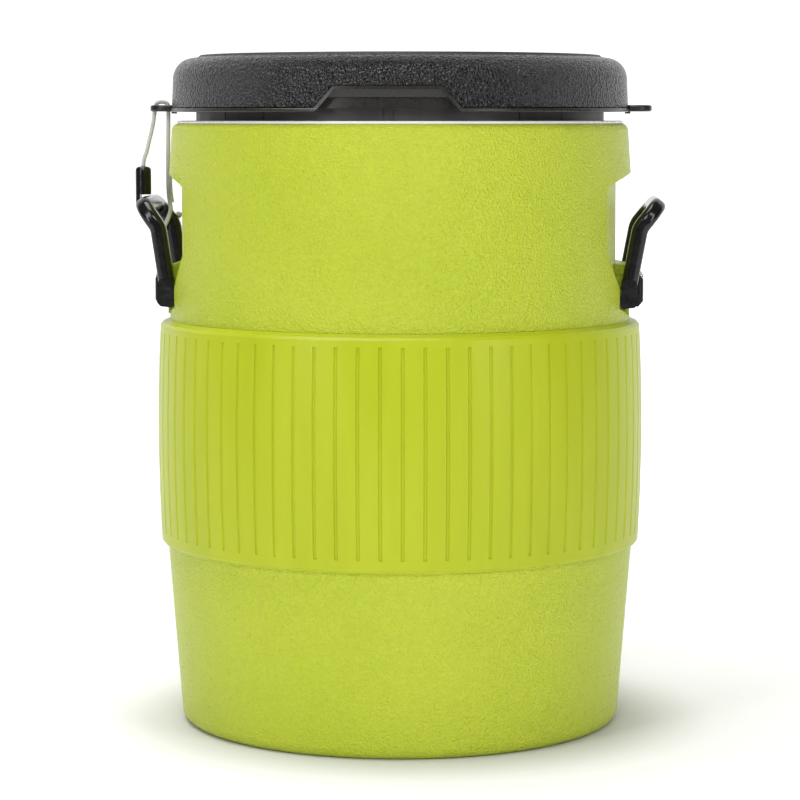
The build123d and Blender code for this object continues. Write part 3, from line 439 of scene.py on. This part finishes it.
def steel():
    """Drawn stainless steel with fine lines and a few duller patches."""
    s = Shader("steel")
    lines = s.noise(1500.0, 3.0, 0.6, stretch=(0.08, 1, 1))
    s.feed(s.mix(s.remap(lines, 0.3, 0.7), (0.50, 0.50, 0.49), (0.66, 0.66, 0.64)), "Base Color")
    s.feed(s.remap(s.noise(120.0, 4.0, 0.6), 0.3, 0.7, 0.22, 0.42), "Roughness")
    s.set(Metallic=1.0)
    s.feed(s.bump(lines, 0.00003, 0.5), "Normal")
    return s.material


def rubber():
    """Soft black rubber, matt, with a little bloom."""
    s = Shader("black_rubber")
    bloom = s.noise(90.0, 4.0, 0.65)
    s.feed(s.mix(s.remap(bloom, 0.4, 0.75), (0.018, 0.018, 0.018), (0.040, 0.039, 0.037)), "Base Color")
    s.feed(s.remap(bloom, 0.3, 0.7, 0.62, 0.80), "Roughness")
    s.feed(s.bump(s.noise(500.0, 2.0), 0.0001, 0.5), "Normal")
    return s.material


def cord_fibre():
    """Ivory synthetic yarn: fine lengthwise filaments and a soft sheen, with the core painted near black as
    painted shade in the hollows between the strands.
    """
    s = Shader("cord")
    uv = s.node("ShaderNodeUVMap", uv_map="yarn").outputs["UV"]
    filaments = s.noise(1.0, 2.0, 0.6, stretch=(34.0, 1.1, 1.0), where=uv)
    grime = s.noise(240.0, 3.0, 0.6)
    yarn = s.mix(s.remap(filaments, 0.3, 0.7), (0.52, 0.51, 0.47), (0.86, 0.85, 0.82))
    yarn = s.mix(s.remap(grime, 0.50, 0.80, 0.0, 0.35), yarn, (0.42, 0.40, 0.35))
    around = s.node("ShaderNodeSeparateXYZ")
    s.join(uv, around.inputs[0])
    # The core shows only through the gaps between the strands; its near black colour is painted shade in
    # the braid's hollows.
    core = s.remap(around.outputs[0], CORE_SHADE_SHIFT - 0.5, CORE_SHADE_SHIFT - 0.4)
    s.feed(s.mix(core, yarn, (0.13, 0.12, 0.10)), "Base Color")
    s.feed(s.remap(filaments, 0.3, 0.7, 0.42, 0.60), "Roughness")
    s.set(Sheen_Weight=0.25, Sheen_Roughness=0.4, Subsurface_Weight=0.12, Subsurface_Scale=0.0008)
    s.feed(s.bump(filaments, 0.00010, 0.8), "Normal")
    return s.material


FINISHES = {
    "green_shell": green_shell(),
    "white_liner": white_liner(),
    "foam": foam(),
    "black_lid": black_lid(),
    "grey_plug": grey_plug(),
    "glossy_black": glossy_black(),
    "dark_plastic": glossy_black("dark_plastic", 0.30, 0.46),
    "steel": steel(),
    "cord": cord_fibre(),
    "white_tap": white_liner("white_tap", (0.80, 0.80, 0.78), (0.74, 0.74, 0.71)),
    "black_rubber": rubber(),
}


def finish_nodes():
    """Gives every CAD node the material of its slot."""
    for entry in frame["record"]["subparts"]:
        mesh = NODES[entry["node"]].data
        mesh.materials.clear()
        mesh.materials.append(FINISHES[entry["material_slot"]])


def straighten_belt_normals(mesh):
    """Turns the normals of the belt's lands straight out, where a groove's edge has tilted them."""
    normals = [Vector(corner.vector) for corner in mesh.corner_normals]
    for face in mesh.polygons:
        outward = Vector((face.center.x, face.center.y, 0.0))
        on_belt = BELT_LOW < face.center.z < BELT_HIGH and outward.length > BELT_LAND_R
        if not on_belt or face.normal.dot(outward.normalized()) < BELT_LAND_SQUARE:
            continue
        for corner in face.loop_indices:
            at = mesh.vertices[mesh.loops[corner].vertex_index].co
            normal = Vector((at.x, at.y, 0.0)).normalized()
            normal.z = (at.z - BELT_MIDDLE) / BELT_ARC
            normals[corner] = normal.normalized()
    mesh.normals_split_custom_set(normals)


# ---- Tether cords --------------------------------------------------------------------------------
def centre_line(name, points):
    """Points along a smooth NURBS curve through a route, read from a curve with no thickness."""
    curve = bpy.data.curves.new(name + "_route", "CURVE")
    curve.dimensions = "3D"
    curve.resolution_u = 14
    spline = curve.splines.new("NURBS")
    spline.points.add(len(points) - 1)
    for control, point in zip(spline.points, metres(points)):
        control.co = (*point, 1.0)
    spline.order_u = 3
    spline.use_endpoint_u = True
    helper = link(bpy.data.objects.new(name + "_route", curve))
    line = bpy.data.meshes.new_from_object(helper)
    found = [v.co.copy() for v in line.vertices]
    bpy.data.objects.remove(helper)
    bpy.data.meshes.remove(line)
    return found


def evenly(points, spacing):
    """The same line with its points evenly spaced."""
    lengths = [0.0]
    for a, b in zip(points, points[1:]):
        lengths.append(lengths[-1] + (b - a).length)
    count = max(2, round(lengths[-1] / spacing))
    even = []
    at = 0
    for i in range(count + 1):
        goal = lengths[-1] * i / count
        while at < len(points) - 2 and lengths[at + 1] < goal:
            at += 1
        share = (goal - lengths[at]) / max(lengths[at + 1] - lengths[at], 1e-9)
        even.append(points[at].lerp(points[at + 1], min(max(share, 0.0), 1.0)))
    return even, lengths[-1]


def frames_along(points):
    """A direction and two steady side vectors at each point of a line."""
    directions = []
    for i in range(len(points)):
        before = points[max(i - 1, 0)]
        after = points[min(i + 1, len(points) - 1)]
        directions.append((after - before).normalized())
    side = directions[0].orthogonal().normalized()
    frames = []
    for direction in directions:
        side = (side - direction * side.dot(direction)).normalized()
        frames.append((direction, side, direction.cross(side)))
    return frames


def add_strand(mesh, uv_layer, centres, radius, sides=8, shift=0.0):
    """Adds one closed tube round a line of centres, with its yarn coordinates along and round it."""
    frames = frames_along(centres)
    rings = []
    along = [0.0]
    for a, b in zip(centres, centres[1:]):
        along.append(along[-1] + (b - a).length)
    for centre, (_, side, up) in zip(centres, frames):
        ring = []
        for k in range(sides):
            turn = 2 * math.pi * k / sides
            ring.append(mesh.verts.new(centre + (side * math.cos(turn) + up * math.sin(turn)) * radius))
        rings.append(ring)
    for i in range(len(rings) - 1):
        for k in range(sides):
            after = (k + 1) % sides
            face = mesh.faces.new((rings[i][k], rings[i][after], rings[i + 1][after], rings[i + 1][k]))
            face.smooth = True
            corners = ((k, i), (k + 1, i), (k + 1, i + 1), (k, i + 1))
            for loop, (u, v) in zip(face.loops, corners):
                loop[uv_layer].uv = (u / sides + shift, along[v] / 0.001)
    for ring, order in ((rings[0], -1), (rings[-1], 1)):
        mesh.faces.new(ring[::order])


def braided_cord(name, points, cord_radius=CORD_R, pairs=4):
    """Crossing strands round a core, painted dark as shade between the strands, along a route. Returns the
    object, its line and its length.
    """
    line, length = evenly(centre_line(name, points), BRAID_SPACING)
    frames = frames_along(line)
    strand_radius = cord_radius * STRAND_SHARE
    middle = cord_radius - strand_radius * 0.80
    mesh = bmesh.new()
    uv_layer = mesh.loops.layers.uv.new("yarn")
    step = length / (len(line) - 1)
    for way in (1, -1):
        for n in range(pairs):
            centres = []
            for i, (point, (_, side, up)) in enumerate(zip(line, frames)):
                turn = way * 2 * math.pi * i * step / BRAID_PITCH + 2 * math.pi * n / pairs
                weave = way * math.sin(pairs * 2 * math.pi * i * step / BRAID_PITCH * 2)
                reach = middle * (1 + 0.10 * weave)
                centres.append(point + (side * math.cos(turn) + up * math.sin(turn)) * reach)
            add_strand(mesh, uv_layer, centres, strand_radius)
    # The core's shifted yarn coordinate lets the finish paint it dark, as painted shade between the
    # strands.
    add_strand(mesh, uv_layer, line, cord_radius * CORE_SHARE, shift=CORE_SHADE_SHIFT)
    data = bpy.data.meshes.new(name)
    mesh.to_mesh(data)
    mesh.free()
    data.materials.append(FINISHES["cord"])
    cord = link(bpy.data.objects.new(name, data))
    return cord, line, length


def eye_route():
    """The eye's points in millimetres: a loop square to the sloped part of the arm."""
    middle = Vector(EYE_CENTRE)
    inwards = Vector((math.cos(EYE_TILT), 0.0, math.sin(EYE_TILT)))
    upwards = Vector((-math.sin(EYE_TILT), 0.0, math.cos(EYE_TILT)))
    aside = Vector((0.0, 1.0, 0.0))
    return [tuple(middle + inwards * u + aside * v + upwards * w) for u, v, w in EYE]


def tether():
    """The tether in three stretches: eye and lower stretch, upper stretch through the tab, free end."""
    # The tail is the cord's own end, laid back against the strand above the eye.
    tail, _, _ = braided_cord("tether_splice_tail", TAIL, cord_radius=TAIL_R)
    lower, line, length = braided_cord("tether_lower", eye_route() + LOWER)
    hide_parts("tether_eye", "tether_cord_lower")
    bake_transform(lower)
    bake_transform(tail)

    upper, line, length = braided_cord("tether_upper", UPPER)
    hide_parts("tether_cord_upper")
    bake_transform(upper)

    free, line, length = braided_cord("tether_free", FREE)
    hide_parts("tether_cord_free")
    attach(free, "lid")
    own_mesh(free)


def return_spring():
    """Gives the tap's spring a mesh of its own."""
    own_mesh(NODES["tap_spring"])


# ---- Stage, light and camera ---------------------------------------------------------------------
def floor_finish():
    """Plain white through its glow, which grows behind the cooler; round the foot the glow is left off the
    grey base, a painted contact shadow.
    """
    s = Shader("studio_floor")
    s.set(Base_Color=(0.80, 0.80, 0.80, 1.0), Roughness=0.7, Specular_IOR_Level=0.2)
    s.set(Emission_Color=(1.0, 1.0, 1.0, 1.0))
    _, y, _ = s.place()
    # No glow inside SHADOW_EDGE, so the grey base shows there: painted contact shadow round the foot.
    near = s.remap(s.radius(), SHADOW_EDGE, SHADOW_END, 0.0, FLOOR_GLOW, smooth=True)
    far = s.remap(y, BACKDROP_FROM, BACKDROP_FULL, 0.0, BACKDROP_GLOW, smooth=True)
    s.feed(s.math("MAXIMUM", near, far), "Emission Strength")
    return s.material


def floor():
    """A plain white floor that curves up far behind the cooler."""
    mesh = bmesh.new()
    rows = [(FLOOR_FRONT, 0.0), (FLOOR_BACK, 0.0)]
    for i in range(1, FLOOR_STEPS + 1):
        turn = math.pi / 2 * i / FLOOR_STEPS
        rows.append((FLOOR_BACK + FLOOR_CURVE * math.sin(turn), FLOOR_CURVE * (1 - math.cos(turn))))
    rows.append((FLOOR_BACK + FLOOR_CURVE, BACKDROP_TOP))
    sides = (-FLOOR_HALF_WIDTH, FLOOR_HALF_WIDTH)
    lines = [[mesh.verts.new((x, y, z)) for x in sides] for y, z in rows]
    for a, b in zip(lines, lines[1:]):
        face = mesh.faces.new((a[0], a[1], b[1], b[0]))
        face.smooth = True
    data = bpy.data.meshes.new("studio_floor")
    mesh.to_mesh(data)
    mesh.free()
    data.materials.append(floor_finish())
    link(bpy.data.objects.new("studio_floor", data))


def softbox(name, place, aim, size, power):
    """A rectangular studio light that faces a point."""
    data = bpy.data.lights.new(name, "AREA")
    data.shape = "RECTANGLE"
    data.size, data.size_y = size
    data.energy = power
    light = link(bpy.data.objects.new(name, data))
    light.location = place
    light.rotation_euler = (Vector(aim) - Vector(place)).to_track_quat("-Z", "Y").to_euler()


def lights():
    """Soft studio light from both sides, the front and above, in a dim white room."""
    for lamp in SOFTBOXES:
        softbox(*lamp)
    world = bpy.data.worlds.new("white_room")
    world.use_nodes = True
    background = world.node_tree.nodes["Background"]
    background.inputs["Color"].default_value = (1.0, 1.0, 1.0, 1.0)
    background.inputs["Strength"].default_value = ROOM_GLOW
    bpy.context.scene.world = world
    bpy.context.scene.view_settings.view_transform = "Standard"


def camera():
    """The camera, a little right of the notch and slightly above the cooler's middle."""
    data = bpy.data.cameras.new("camera")
    data.lens = CAMERA_LENS
    data.sensor_width = 36.0
    data.clip_end = 50.0
    eye = link(bpy.data.objects.new("camera", data))
    across = math.sin(CAMERA_TURN) * CAMERA_DISTANCE
    back = math.cos(CAMERA_TURN) * CAMERA_DISTANCE
    eye.location = (across, -back, CAMERA_HEIGHT)
    eye.rotation_euler = (math.pi / 2 - CAMERA_PITCH, 0.0, CAMERA_TURN)
    bpy.context.scene.camera = eye


camera()
finish_nodes()
straighten_belt_normals(NODES["outer_shell"].data)
tether()
return_spring()
floor()
lights()

bpy.context.view_layer.update()
